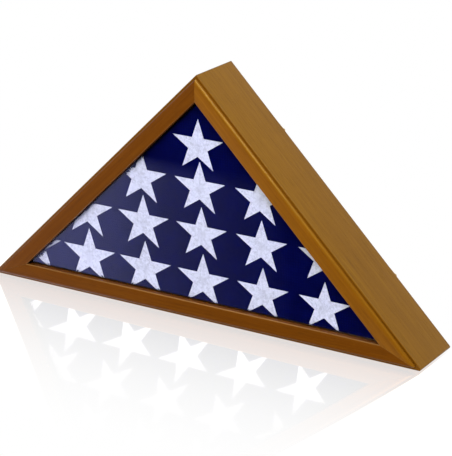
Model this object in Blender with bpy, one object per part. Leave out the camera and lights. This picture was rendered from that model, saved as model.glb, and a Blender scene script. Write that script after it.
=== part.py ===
"""Display case for a folded flag: a wooden triangle with a glazed face frame and a lift-out back.

Metres, +Z up. The case stands on its long side, faces -Y, and is centred on X = 0.
Places inside it are given as an inset, measured square from the nearest outer face of the box
towards the middle, and as a depth, measured back from the front of the face frame.
"""
import math

import bmesh
import bpy
from mathutils import Matrix, Vector

MM = 0.001

# Driving dimensions
WIDTH = 640 * MM                # along the base, tip to tip before the tips are rounded
BASE_ANGLE = math.radians(45)
DEPTH = 88 * MM                 # front of the face frame to the rear edges of the boards
BOARD = 14 * MM                 # thickness of the three box boards
RAIL_EDGE = 24 * MM             # inset of the glass opening
GAP = 0.3 * MM                  # between neighbouring pieces

# Face frame
RAIL_SET = 3 * MM               # the frame's outer edge is set in from the box
FRONT_LIP = 4.2 * MM            # the frame stands this far in front of the boards
RAIL_ROUND = 3.5 * MM           # round on the frame's outer front edge
OPENING_ROUND = 1 * MM          # eased edge round the glass opening
LIP_THICKNESS = 6.5 * MM        # wood in front of the glass
RAIL_THICKNESS = 12 * MM
GLASS_REBATE = 18.3 * MM        # inset of the rebate's wall
ROUND_STEPS = 4

# Box
REBATE = 8 * MM                 # inset of the rebate that takes the back board
REBATE_DEPTH = 5.4 * MM
EASED = 0.8 * MM                # broken edges of the boards
TIP_ROUND = 2.5 * MM            # the two sharp corners
APEX_ROUND = 1.2 * MM
TIP_STEPS = 4
SPLINE = (8 * MM, 60 * MM, 3 * MM)   # across the mitre, along the depth, thickness
SPLINE_DEPTH = 45 * MM          # middle of the splines

# Glazing
GLASS = 2 * MM
BEAD_THICKNESS = 3 * MM
BEAD_EDGE = 23.2 * MM
BEAD_CHAMFER = 1.2 * MM

# Back board
BOARD_FIT = 0.4 * MM            # round the back board, inside its rebate
BACK_THICKNESS = 5 * MM
LINING_EDGE = 15.5 * MM
LINING_THICKNESS = 1 * MM

# Flag: inset, corner radius and depth of the outlines from its front to its back
FLAG_SECTIONS = (
    (27.0 * MM, 3 * MM, 10.2 * MM),
    (24.4 * MM, 3 * MM, 12.6 * MM),
    (18.5 * MM, 4 * MM, 19.0 * MM),
    (14.6 * MM, 5 * MM, 30.0 * MM),
    (14.6 * MM, 5 * MM, 66.0 * MM),
    (18.5 * MM, 4 * MM, 77.0 * MM),
    (25.0 * MM, 3 * MM, 80.6 * MM),
)
CORNER_STEPS = 5
SMOOTH_ANGLE = math.radians(35)

# Turn buttons
BUTTON_INSET = 4 * MM
BUTTON_WIDTH = 7.2 * MM
BUTTON_TIP_WIDTH = 5.2 * MM
BUTTON_REACH = 22 * MM          # pivot to the middle of the round tip
BUTTON_THICKNESS = 1.2 * MM
BUTTON_PLACES = (0.24, 0.76)    # along each side, as a fraction of its length
BUTTON_STEPS = 8
SHANK_RADIUS = 1.3 * MM
SHANK_LENGTH = 14 * MM
SHANK_POINT = 0.25 * MM         # radius of the flat at the point
POINT_LENGTH = 2.6 * MM
HEAD_RADIUS = 2.9 * MM
HEAD_THICKNESS = 1.8 * MM
HEAD_SHOULDER = (2.6 * MM, 1.1 * MM)   # radius and height where the head's dome turns in
HEAD_CROWN = 1.4 * MM           # radius of the flat on top of the head
WASHER_RADIUS = 3.2 * MM
WASHER_THICKNESS = 0.5 * MM
SCREW_SIDES = 16

# Worked out from these
HEIGHT = WIDTH / 2 * math.tan(BASE_ANGLE)
BUTTON_FRONT = DEPTH + GAP
WASHER_FRONT = BUTTON_FRONT + BUTTON_THICKNESS + GAP
WASHER_BACK = WASHER_FRONT + WASHER_THICKNESS + GAP
Y_FRONT = -(WASHER_BACK + HEAD_THICKNESS) / 2
HALF_ANGLE = {"left": BASE_ANGLE / 2, "right": BASE_ANGLE / 2, "apex": math.pi / 2 - BASE_ANGLE}
SIDES = {"bottom": ("left", "right"), "right": ("right", "apex"), "left": ("apex", "left")}
OUTWARD = {"bottom": -math.pi / 2, "right": math.pi / 2 - BASE_ANGLE, "left": math.pi / 2 + BASE_ANGLE}
BUTTON_NAMES = {"bottom": ("left", "right"), "right": ("lower", "upper"), "left": ("upper", "lower")}
CORNER_SIDES = {"right": ("bottom", "right"), "apex": ("right", "left"), "left": ("left", "bottom")}


# Places

def corner(name, inset):
    """Corner of the triangle whose edges lie the given inset inside the box's outer faces."""
    reach = inset / math.sin(HALF_ANGLE[name])
    if name == "apex":
        return Vector((0.0, 0.0, HEIGHT - reach))
    side = 1 if name == "right" else -1
    return Vector((side * (WIDTH / 2 - reach * math.cos(HALF_ANGLE[name])), 0.0, inset))


def direction(side):
    """Unit vector along a side, anticlockwise as seen from the front."""
    start, end = SIDES[side]
    return (corner(end, 0) - corner(start, 0)).normalized()


def bisector(name):
    """Unit vector from a corner towards the middle of the case."""
    return (corner(name, BOARD) - corner(name, 0)).normalized()


def at_depth(point, depth):
    return Vector((point.x, Y_FRONT + depth, point.z))


def corner_angles(name):
    """Directions of the outward normals on both sides of a corner, in the X-Z plane."""
    first, second = (OUTWARD[side] for side in CORNER_SIDES[name])
    if second < first:
        second += 2 * math.pi
    return first, second


def outline(inset, radius):
    """The triangle at an inset, its corners rounded, as points in the X-Z plane."""
    points = []
    for name in CORNER_SIDES:
        first, second = corner_angles(name)
        centre = corner(name, inset + radius)
        for step in range(CORNER_STEPS + 1):
            angle = first + (second - first) * step / CORNER_STEPS
            points.append(centre + radius * Vector((math.cos(angle), 0.0, math.sin(angle))))
    return points


# Objects

def finish(name, colour, roughness, metallic=0.0, transmission=0.0):
    material = bpy.data.materials.new(name)
    material.use_nodes = True
    shader = material.node_tree.nodes["Principled BSDF"]
    shader.inputs["Base Color"].default_value = (*colour, 1.0)
    shader.inputs["Roughness"].default_value = roughness
    shader.inputs["Metallic"].default_value = metallic
    shader.inputs["Transmission Weight"].default_value = transmission
    material.diffuse_color = (*colour, 1.0)
    return material


def mesh_from(bm, name):
    bmesh.ops.recalc_face_normals(bm, faces=bm.faces)
    mesh = bpy.data.meshes.new(name)
    bm.to_mesh(mesh)
    bm.free()
    return mesh


def add(name, mesh, material, smooth=None):
    if material and not mesh.materials:
        mesh.materials.append(material)
    if smooth:
        mesh.shade_smooth()
        mesh.set_sharp_from_angle(angle=smooth)
    piece = bpy.data.objects.new(name, mesh)
    bpy.context.scene.collection.objects.link(piece)
    return piece


def cut(piece, name, bm):
    """Takes a shape out of a piece with a Boolean, and leaves the shape as a hidden guide."""
    guide = add(name, mesh_from(bm, name), None)
    guide.hide_render = True
    guide.display_type = "WIRE"
    modifier = piece.modifiers.new(name, "BOOLEAN")
    modifier.operation = "DIFFERENCE"
    modifier.object = guide


# Shapes

def bridge_rings(bm, rings):
    """Closes a stack of point rings into one solid, with a flat cap at each end."""
    loops = [[bm.verts.new(point) for point in ring] for ring in rings]
    for lower, upper in zip(loops, loops[1:]):
        for i in range(len(lower)):
            j = (i + 1) % len(lower)
            bm.faces.new((lower[i], lower[j], upper[j], upper[i]))
    bm.faces.new(loops[0])
    bm.faces.new(reversed(loops[-1]))


def stacked_triangle(sections):
    """A solid whose outline at each depth is a rounded triangle: (inset, radius, depth)."""
    bm = bmesh.new()
    rings = []
    for inset, radius, depth in sections:
        rings.append([at_depth(point, depth) for point in outline(inset, radius)])
    bridge_rings(bm, rings)
    return bm


def mitred_strip(side, profile):
    """A strip along one side, mitred at both ends: the profile's points are (inset, depth)."""
    bm = bmesh.new()
    rings = []
    for name, sign in zip(SIDES[side], (1, -1)):
        shortening = sign * GAP / 2 / math.sin(HALF_ANGLE[name]) * direction(side)
        rings.append([at_depth(corner(name, inset) + shortening, depth) for inset, depth in profile])
    bridge_rings(bm, rings)
    return bm


def round_corners(bm, inset, side, tip_radius, apex_radius):
    """Planes off the outer corners of a strip, along an arc."""
    for name in SIDES[side]:
        radius = apex_radius if name == "apex" else tip_radius
        centre = corner(name, inset + radius)
        first, second = corner_angles(name)
        for step in range(TIP_STEPS):
            angle = first + (second - first) * (step + 0.5) / TIP_STEPS
            normal = Vector((math.cos(angle), 0.0, math.sin(angle)))
            everything = bm.verts[:] + bm.edges[:] + bm.faces[:]
            cut_result = bmesh.ops.bisect_plane(bm, geom=everything, plane_co=centre + radius * normal,
                                                plane_no=normal, clear_outer=True)
            rim = [item for item in cut_result["geom_cut"] if isinstance(item, bmesh.types.BMEdge)]
            if rim:
                bmesh.ops.edgeloop_fill(bm, edges=rim)


def turned(bm, profile, place=Vector()):
    """A turned solid round an axis along Y: the profile's points are (radius, y) from the place."""
    rings = []
    for radius, y in profile:
        ring = []
        for i in range(SCREW_SIDES):
            angle = 2 * math.pi * i / SCREW_SIDES
            ring.append(place + Vector((radius * math.cos(angle), y, radius * math.sin(angle))))
        rings.append(ring)
    bridge_rings(bm, rings)


def rounded_edge(inset, depth, radius):
    """Points of an outer front edge, rounded, from its side face to its front face."""
    points = []
    for step in range(ROUND_STEPS + 1):
        angle = math.pi / 2 * step / ROUND_STEPS
        points.append((inset + radius * (1 - math.cos(angle)), depth + radius * (1 - math.sin(angle))))
    return points


# Woodwork

def spline_block(name, play):
    """The loose tongue across a mitre, or with play added, the groove that takes it."""
    across, along, thick = (size + 2 * play for size in SPLINE)
    inwards = bisector(name)
    middle = at_depth(corner(name, BOARD / 2), SPLINE_DEPTH)
    axes = Matrix((inwards.cross(Vector((0, 1, 0))), (0, 1, 0), inwards)).transposed().to_4x4()
    place = Matrix.Translation(middle) @ axes @ Matrix.Diagonal((across, along, thick, 1))
    bm = bmesh.new()
    bmesh.ops.create_cube(bm, size=1, matrix=place)
    return bm


def button_pivots(side):
    """Where the turn buttons' screws stand on one side of the box."""
    start, end = (corner(name, BUTTON_INSET) for name in SIDES[side])
    return [start.lerp(end, place) for place in BUTTON_PLACES]


def make_box_boards(wood):
    front = FRONT_LIP + GAP
    shoulder = DEPTH - REBATE_DEPTH
    profile = (
        (EASED, front), (0, front + EASED), (0, DEPTH - EASED), (EASED, DEPTH),
        (REBATE, DEPTH), (REBATE, shoulder), (BOARD, shoulder), (BOARD, front),
    )
    names = {"bottom": "base_board", "right": "right_side_board", "left": "left_side_board"}
    for side, name in names.items():
        bm = mitred_strip(side, profile)
        round_corners(bm, 0, side, TIP_ROUND, APEX_ROUND)
        board = add(name, mesh_from(bm, name), wood)
        for end in SIDES[side]:
            cut(board, f"{name}_{end}_groove", spline_block(end, GAP))
        holes = bmesh.new()
        for pivot in button_pivots(side):
            bore = SHANK_RADIUS + GAP
            turned(holes, ((bore, -SHANK_LENGTH), (bore, GAP)), at_depth(pivot, DEPTH))
        cut(board, f"{name}_screw_holes", holes)


def make_splines(wood):
    for name in CORNER_SIDES:
        title = f"{name}_mitre_spline"
        add(title, mesh_from(spline_block(name, 0), title), wood)


def make_face_rails(wood):
    inner = LIP_THICKNESS
    profile = rounded_edge(RAIL_SET, 0, RAIL_ROUND) + [
        (RAIL_EDGE - OPENING_ROUND, 0), (RAIL_EDGE, OPENING_ROUND), (RAIL_EDGE, inner),
        (GLASS_REBATE, inner), (GLASS_REBATE, RAIL_THICKNESS),
        (BOARD + GAP, RAIL_THICKNESS), (BOARD + GAP, FRONT_LIP), (RAIL_SET, FRONT_LIP),
    ]
    for side in SIDES:
        name = f"{side}_face_rail"
        bm = mitred_strip(side, profile)
        round_corners(bm, RAIL_SET, side, TIP_ROUND, APEX_ROUND)
        add(name, mesh_from(bm, name), wood)


def make_glazing_beads(wood):
    edge = GLASS_REBATE + GAP
    front = LIP_THICKNESS + GLASS + 2 * GAP
    back = front + BEAD_THICKNESS
    profile = ((edge, front), (BEAD_EDGE, front), (BEAD_EDGE, back - BEAD_CHAMFER),
               (BEAD_EDGE - BEAD_CHAMFER, back), (edge, back))
    for side in SIDES:
        name = f"{side}_glazing_bead"
        add(name, mesh_from(mitred_strip(side, profile), name), wood)


# Glass, flag and back

def make_glass(material):
    edge = GLASS_REBATE + GAP
    front = LIP_THICKNESS + GAP
    sections = ((edge, EASED, front), (edge, EASED, front + GLASS))
    add("glass_pane", mesh_from(stacked_triangle(sections), "glass_pane"), material)


def make_flag(cotton):
    mesh = mesh_from(stacked_triangle(FLAG_SECTIONS), "folded_flag")
    add("folded_flag", mesh, cotton, smooth=SMOOTH_ANGLE)


def make_back(panel, felt):
    """The lift-out back board and the lining on its inner face, both on a slide's empty."""
    slide = bpy.data.objects.new("back_board_slide", None)
    slide.location = (0.0, Y_FRONT + DEPTH, HEIGHT / 3)
    bpy.context.scene.collection.objects.link(slide)
    bpy.context.view_layer.update()
    rim = REBATE + BOARD_FIT
    face = DEPTH - BACK_THICKNESS
    lining = face - GAP
    board_sections = ((rim, EASED, face), (rim, EASED, DEPTH))
    lining_sections = ((LINING_EDGE, EASED, lining - LINING_THICKNESS), (LINING_EDGE, EASED, lining))
    pieces = (("back_board", board_sections, panel), ("back_lining", lining_sections, felt))
    for name, sections, material in pieces:
        bm = stacked_triangle(sections)
        bmesh.ops.translate(bm, verts=bm.verts, vec=-slide.location)
        piece = add(name, mesh_from(bm, name), material)
        piece.parent = slide


# Turn buttons

def button_mesh():
    """A flat tongue with a round eye, its pivot at the origin, pointing along +X."""
    bm = bmesh.new()
    eye, tip = BUTTON_WIDTH / 2, BUTTON_TIP_WIDTH / 2
    lean = math.asin((eye - tip) / BUTTON_REACH)
    rim = []
    for radius, middle, first, last in (
        (tip, BUTTON_REACH, -math.pi / 2 + lean, math.pi / 2 - lean),
        (eye, 0.0, math.pi / 2 - lean, 3 * math.pi / 2 + lean),
    ):
        for step in range(BUTTON_STEPS + 1):
            angle = first + (last - first) * step / BUTTON_STEPS
            rim.append((middle + radius * math.cos(angle), radius * math.sin(angle)))
    bore = []
    for i in range(SCREW_SIDES):
        angle = 2 * math.pi * i / SCREW_SIDES
        reach = SHANK_RADIUS + GAP
        bore.append((reach * math.cos(angle), reach * math.sin(angle)))
    edges = []
    for points in (rim, bore):
        loop = [bm.verts.new((x, 0.0, z)) for x, z in points]
        edges += [bm.edges.new((loop[i - 1], loop[i])) for i in range(len(loop))]
    bmesh.ops.triangle_fill(bm, edges=edges, use_beauty=True)
    flat = bmesh.ops.extrude_face_region(bm, geom=bm.faces[:])
    moved = [item for item in flat["geom"] if isinstance(item, bmesh.types.BMVert)]
    bmesh.ops.translate(bm, verts=moved, vec=(0.0, BUTTON_THICKNESS, 0.0))
    return mesh_from(bm, "turn_button")


def screw_mesh():
    """A round-headed screw, the underside of its head at the origin."""
    tip = BUTTON_FRONT - WASHER_BACK - SHANK_LENGTH
    bm = bmesh.new()
    turned(bm, ((SHANK_POINT, tip), (SHANK_RADIUS, tip + POINT_LENGTH), (SHANK_RADIUS, 0),
                (HEAD_RADIUS, 0), HEAD_SHOULDER, (HEAD_CROWN, HEAD_THICKNESS)))
    return mesh_from(bm, "turn_button_screw")


def washer_mesh():
    """A flat ring, its front face at the origin."""
    bore = SHANK_RADIUS + GAP
    section = ((bore, 0), (WASHER_RADIUS, 0), (WASHER_RADIUS, WASHER_THICKNESS),
               (bore, WASHER_THICKNESS))
    bm = bmesh.new()
    rings = []
    for i in range(SCREW_SIDES):
        angle = 2 * math.pi * i / SCREW_SIDES
        spoke = Vector((math.cos(angle), 0.0, math.sin(angle)))
        rings.append([bm.verts.new(radius * spoke + Vector((0, y, 0))) for radius, y in section])
    for i, ring in enumerate(rings):
        before = rings[i - 1]
        for k in range(len(section)):
            bm.faces.new((before[k - 1], before[k], ring[k], ring[k - 1]))
    return mesh_from(bm, "turn_button_washer")


def make_turn_buttons(brass):
    """Six tongues on the rear edges, turned clear of the back board along their own side."""
    button = button_mesh()
    washer = washer_mesh()
    screw = screw_mesh()
    stack = (("turn_button", button, BUTTON_FRONT), ("button_washer", washer, WASHER_FRONT),
             ("button_screw", screw, WASHER_BACK))
    for side, places in BUTTON_NAMES.items():
        along = direction(side)
        slope = math.atan2(along.z, along.x)
        for pivot, place in zip(button_pivots(side), places):
            for title, mesh, depth in stack:
                piece = add(f"{title}_{side}_{place}", mesh, brass)
                piece.location = at_depth(pivot, depth)
                piece.rotation_euler = (0.0, -slope, 0.0)


def main():
    for item in list(bpy.data.objects):
        bpy.data.objects.remove(item, do_unlink=True)
    wood = finish("satin_oak", (0.23, 0.115, 0.03), 0.38)
    bead_wood = finish("bead_oak", (0.20, 0.10, 0.03), 0.5)
    spline_wood = finish("birch_ply", (0.55, 0.42, 0.27), 0.7)
    glass = finish("clear_glass", (0.95, 0.97, 0.96), 0.02, transmission=1.0)
    cotton = finish("navy_cotton", (0.012, 0.012, 0.075), 0.9)
    panel = finish("hardboard", (0.17, 0.10, 0.055), 0.65)
    felt = finish("black_felt", (0.012, 0.012, 0.013), 1.0)
    brass = finish("brass_plate", (0.62, 0.44, 0.18), 0.32, metallic=1.0)
    make_box_boards(wood)
    make_splines(spline_wood)
    make_face_rails(wood)
    make_glass(glass)
    make_glazing_beads(bead_wood)
    make_flag(cotton)
    make_back(panel, felt)
    make_turn_buttons(brass)


main()
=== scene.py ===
"""Looks of a triangular display case for a folded flag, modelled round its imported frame.

Metres, +Z up, the glass facing -Y. Places in the case are given as an inset, measured square
from the nearest outer face of the box, and as a depth, measured back from the front of the frame.
"""
import contextlib
import math

import bmesh
import bpy
from mathutils import Matrix, Vector, noise


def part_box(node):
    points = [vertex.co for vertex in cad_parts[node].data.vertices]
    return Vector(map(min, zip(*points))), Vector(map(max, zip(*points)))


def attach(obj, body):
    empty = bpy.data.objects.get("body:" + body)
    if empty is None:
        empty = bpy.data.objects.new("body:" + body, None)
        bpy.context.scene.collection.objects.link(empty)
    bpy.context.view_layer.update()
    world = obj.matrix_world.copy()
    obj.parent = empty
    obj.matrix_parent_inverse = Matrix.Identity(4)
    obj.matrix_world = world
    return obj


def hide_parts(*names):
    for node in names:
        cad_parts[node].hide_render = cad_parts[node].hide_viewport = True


bl_info = {
    "name": "Folded Flag Display Case",
    "version": (1, 0, 0),
    "blender": (4, 5, 0),
    "location": "View3D > Sidebar > Flag Case",
    "description": "Builds the wooden case, its glass, the folded flag and the fittings of its back",
    "category": "Object",
}

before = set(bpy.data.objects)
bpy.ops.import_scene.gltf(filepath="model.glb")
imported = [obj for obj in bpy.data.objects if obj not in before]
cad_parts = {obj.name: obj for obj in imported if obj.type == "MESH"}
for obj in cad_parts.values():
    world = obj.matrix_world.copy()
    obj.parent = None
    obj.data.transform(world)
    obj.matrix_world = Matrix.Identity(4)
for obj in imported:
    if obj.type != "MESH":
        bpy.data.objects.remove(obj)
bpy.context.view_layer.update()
MM = 0.001

# Places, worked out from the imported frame

CASE = "case"
BACK = "back"
FRONT_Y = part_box("bottom_face_rail")[0][1]
RAIL_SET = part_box("bottom_face_rail")[0][2]
RAIL_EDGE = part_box("bottom_face_rail")[1][2]
RAIL_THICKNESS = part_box("bottom_face_rail")[1][1] - FRONT_Y
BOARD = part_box("base_board")[1][2]
BOARD_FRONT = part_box("base_board")[0][1] - FRONT_Y
BOARD_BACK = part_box("base_board")[1][1] - FRONT_Y
GLASS_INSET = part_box("glass_pane")[0][2]
PANEL_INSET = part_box("back_board")[0][2]
PANEL_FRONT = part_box("back_board")[0][1] - FRONT_Y
LINING_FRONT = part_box("back_lining")[0][1] - FRONT_Y
LINING_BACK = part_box("back_lining")[1][1] - FRONT_Y
LINING_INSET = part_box("back_lining")[0][2]
FLAG_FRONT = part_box("folded_flag")[0][1] - FRONT_Y
FLAG_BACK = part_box("folded_flag")[1][1] - FRONT_Y
BUTTON_PLACES = {"bottom": ("left", "right"), "right": ("lower", "upper"), "left": ("upper", "lower")}
GAP = 0.3 * MM                  # the frame keeps this between neighbouring pieces
HALF_WIDTH = max(v.co.x + v.co.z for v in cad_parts["right_side_board"].data.vertices)
BASE_ANGLE = math.radians(45)
HEIGHT = HALF_WIDTH * math.tan(BASE_ANGLE)
SIDES = {"bottom": ("left", "right"), "right": ("right", "apex"), "left": ("apex", "left")}
SLOPE = {"bottom": 0.0, "right": math.pi - BASE_ANGLE, "left": math.pi + BASE_ANGLE}
CORNER_SIDES = {"right": ("bottom", "right"), "apex": ("right", "left"), "left": ("left", "bottom")}
HALF_ANGLE = {"left": BASE_ANGLE / 2, "right": BASE_ANGLE / 2, "apex": math.pi / 2 - BASE_ANGLE}

# Small sizes of the folds, the stars and the screws

FOLD_FADE = 8 * MM              # how far in from the flag's edge its layers show
TUCK_WIDTH = 2.5 * MM           # width of the slope at the tucked end's edge
SEAM_WIDTH = 1.5 * MM           # half width of a star's ridges and valleys
BOARD_PLAY = 0.5 * MM           # what the flag keeps clear of the boards
LEAST_STAR = 12                 # a trimmed star with fewer faces is left out
DOME_STEPS = 4                  # rings of a screw's domed head
DOME_TURN = math.pi / 2 / 4.6   # turn from one ring to the next, short of a full quarter
DOME_SHARE = 0.65               # share of a screw head's height that is domed


def corner(name, inset):
    """Corner of the triangle whose edges lie the given inset inside the box's outer faces."""
    reach = inset / math.sin(HALF_ANGLE[name])
    if name == "apex":
        return Vector((0.0, 0.0, HEIGHT - reach))
    hand = 1 if name == "right" else -1
    return Vector((hand * (HALF_WIDTH - reach * math.cos(HALF_ANGLE[name])), 0.0, inset))


def direction(side):
    """Unit vector along a side, anticlockwise as seen from the front."""
    return Vector((math.cos(SLOPE[side]), 0.0, math.sin(SLOPE[side])))


def inward(side):
    """Unit vector square to a side, towards the middle of the case."""
    return Vector((-math.sin(SLOPE[side]), 0.0, math.cos(SLOPE[side])))


def inset_of(point, side):
    return (point - corner(SIDES[side][0], 0)).dot(inward(side))


def nearest_inset(point):
    return min(inset_of(point, side) for side in SIDES)


def at_depth(point, depth):
    return Vector((point.x, FRONT_Y + depth, point.z))


def corner_angles(name):
    """Directions of the outward normals on both sides of a corner, in the X-Z plane."""
    first, second = (SLOPE[side] - math.pi / 2 for side in CORNER_SIDES[name])
    while second < first:
        second += 2 * math.pi
    return first, second


# Node helpers

class Nodes:
    """The node tree of a material, or of a world, with short calls that add and join its nodes."""

    def __init__(self, name, world=None):
        self.material = world or bpy.data.materials.new(name)
        self.material.use_nodes = True
        self.tree = self.material.node_tree
        self.shader = self.tree.nodes.get("Principled BSDF")
        self.output = self.tree.nodes.get("Material Output")

    def add(self, kind, inputs=None, **settings):
        node = self.tree.nodes.new(kind)
        for key, value in settings.items():
            setattr(node, key, value)
        for key, value in (inputs or {}).items():
            self.put(node.inputs[key], value)
        return node

    def put(self, socket, value):
        if isinstance(value, bpy.types.NodeSocket):
            self.tree.links.new(value, socket)
        else:
            socket.default_value = value

    def set(self, **values):
        """Sets sockets of the shader, named with underscores for spaces."""
        for key, value in values.items():
            self.put(self.shader.inputs[key.replace("_", " ")], value)

    def place(self, turn=(0, 0, 0), shift=(0, 0, 0), scale=(1, 1, 1)):
        """Object coordinates, shifted, turned, and then stretched by the scale."""
        here = self.add("ShaderNodeTexCoord").outputs["Object"]
        turned = self.add("ShaderNodeMapping", {"Vector": here, "Rotation": turn, "Location": shift})
        return self.stretch(turned.outputs["Vector"], scale)

    def stretch(self, vector, scale):
        node = self.add("ShaderNodeMapping", {"Vector": vector, "Scale": scale})
        return node.outputs["Vector"]

    def noise(self, vector, scale, detail=3.0, roughness=0.5, distortion=0.0):
        node = self.add("ShaderNodeTexNoise", {"Vector": vector, "Scale": scale, "Detail": detail,
                                               "Roughness": roughness, "Distortion": distortion})
        return node.outputs["Fac"]

    def fibre(self, vector, scale, detail=3.0, roughness=0.5, distortion=0.0):
        """Noise drawn out along an axis, by a scale for each axis."""
        return self.noise(self.stretch(vector, scale), 1.0, detail, roughness, distortion)

    def mark(self, name):
        """The value that a piece's mesh holds under a name."""
        return self.add("ShaderNodeAttribute", attribute_name=name).outputs["Fac"]

    def wave(self, vector, scale, distortion=0.0, direction="X"):
        node = self.add("ShaderNodeTexWave", {"Vector": vector, "Scale": scale, "Detail": 2.0,
                                              "Distortion": distortion}, bands_direction=direction)
        return node.outputs["Fac"]

    def ramp(self, value, stops):
        node = self.add("ShaderNodeValToRGB", {"Fac": value})
        points = node.color_ramp.elements
        while len(points) < len(stops):
            points.new(0.5)
        for point, (place, colour) in zip(points, stops):
            point.position = place
            point.color = (*colour, 1.0)
        return node.outputs["Color"]

    def span(self, value, low, high, to_low=0.0, to_high=1.0):
        """Maps a value's low..high onto to_low..to_high, and clamps it."""
        node = self.add("ShaderNodeMapRange", {"Value": value, "From Min": low, "From Max": high,
                                               "To Min": to_low, "To Max": to_high})
        return node.outputs["Result"]

    def math(self, operation, first, second=0.0):
        node = self.add("ShaderNodeMath", operation=operation)
        self.put(node.inputs[0], first)
        self.put(node.inputs[1], second)
        return node.outputs["Value"]

    def times(self, first, second):
        return self.math("MULTIPLY", first, second)

    def plus(self, first, second):
        return self.math("ADD", first, second)

    def mix(self, factor, first, second, blend="MIX"):
        node = self.add("ShaderNodeMix", data_type="RGBA", blend_type=blend, clamp_result=False)
        self.put(node.inputs["Factor"], factor)
        for socket, colour in ((node.inputs["A"], first), (node.inputs["B"], second)):
            self.put(socket, colour if isinstance(colour, bpy.types.NodeSocket) else (*colour, 1.0))
        return node.outputs["Result"]

    def mix_shaders(self, factor, first, second):
        mixed = self.add("ShaderNodeMixShader", {"Fac": factor})
        self.put(mixed.inputs[1], first.outputs[0])
        self.put(mixed.inputs[2], second.outputs[0])
        return mixed

    def bump(self, height, strength, distance):
        node = self.add("ShaderNodeBump", {"Height": height, "Strength": strength,
                                           "Distance": distance})
        return node.outputs["Normal"]


# Modelling helpers

@contextlib.contextmanager
def editing(piece):
    """Edit mode on one piece, with everything in it selected to begin with."""
    select_only(piece)
    bpy.ops.object.mode_set(mode="EDIT")
    bpy.ops.mesh.select_mode(type="VERT")
    bpy.ops.mesh.select_all(action="SELECT")
    yield
    bpy.ops.object.mode_set(mode="OBJECT")


def select_only(*pieces):
    bpy.ops.object.select_all(action="DESELECT")
    for piece in pieces:
        piece.select_set(True)
    bpy.context.view_layer.objects.active = pieces[0]


def pick(piece, kind, test):
    """Selects the faces, edges or points of a piece in edit mode that pass a test on their place."""
    bpy.ops.mesh.select_all(action="DESELECT")
    bpy.ops.mesh.select_mode(type=kind)
    bm = bmesh.from_edit_mesh(piece.data)
    found = 0
    for item in {"FACE": bm.faces, "EDGE": bm.edges, "VERT": bm.verts}[kind]:
        if test(item):
            item.select_set(True)
            found += 1
    bm.select_flush_mode()
    bmesh.update_edit_mesh(piece.data)
    if not found:
        raise RuntimeError(f"{piece.name}: nothing to select")


def edge_middle(edge):
    return (edge.verts[0].co + edge.verts[1].co) / 2


def edge_direction(edge):
    return (edge.verts[1].co - edge.verts[0].co).normalized()


def near(value, target, tolerance=0.05 * MM):
    return abs(value - target) < tolerance


def apply_modifier(piece, kind, **settings):
    select_only(piece)
    modifier = piece.modifiers.new(kind.title(), kind)
    for key, value in settings.items():
        setattr(modifier, key, value)
    bpy.ops.object.modifier_apply(modifier=modifier.name)


def finish_piece(piece, name, body, material, replaced=(), smooth=30):
    """Gives a modelled piece its name, shading, material and place in the frame."""
    piece.name = name
    piece.data.name = name
    select_only(piece)
    apply_place()
    bpy.ops.object.shade_smooth_by_angle(angle=math.radians(smooth))
    piece.data.materials.clear()
    piece.data.materials.append(material)
    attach(piece, body)
    if replaced:
        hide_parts(*replaced)
    return piece


def add_primitive(kind, **settings):
    """Adds one of Blender's primitives, with nothing else selected."""
    bpy.ops.object.select_all(action="DESELECT")
    getattr(bpy.ops.mesh, f"primitive_{kind}_add")(**settings)
    return bpy.context.active_object


def apply_place():
    bpy.ops.object.transform_apply(location=True, rotation=True, scale=True)


def copy_of(blank):
    """A copy with its own mesh."""
    piece = blank.copy()
    piece.data = blank.data.copy()
    bpy.context.scene.collection.objects.link(piece)
    return piece


def mark_faces(piece, name, value):
    """Keeps a value for each face, which the material of the wood reads."""
    layer = piece.data.attributes.new(name, "FLOAT", "FACE")
    for face in piece.data.polygons:
        layer.data[face.index].value = value(face)


def extrude(vector):
    bpy.ops.mesh.extrude_region_move(TRANSFORM_OT_translate={"value": vector})


# Wood

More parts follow.
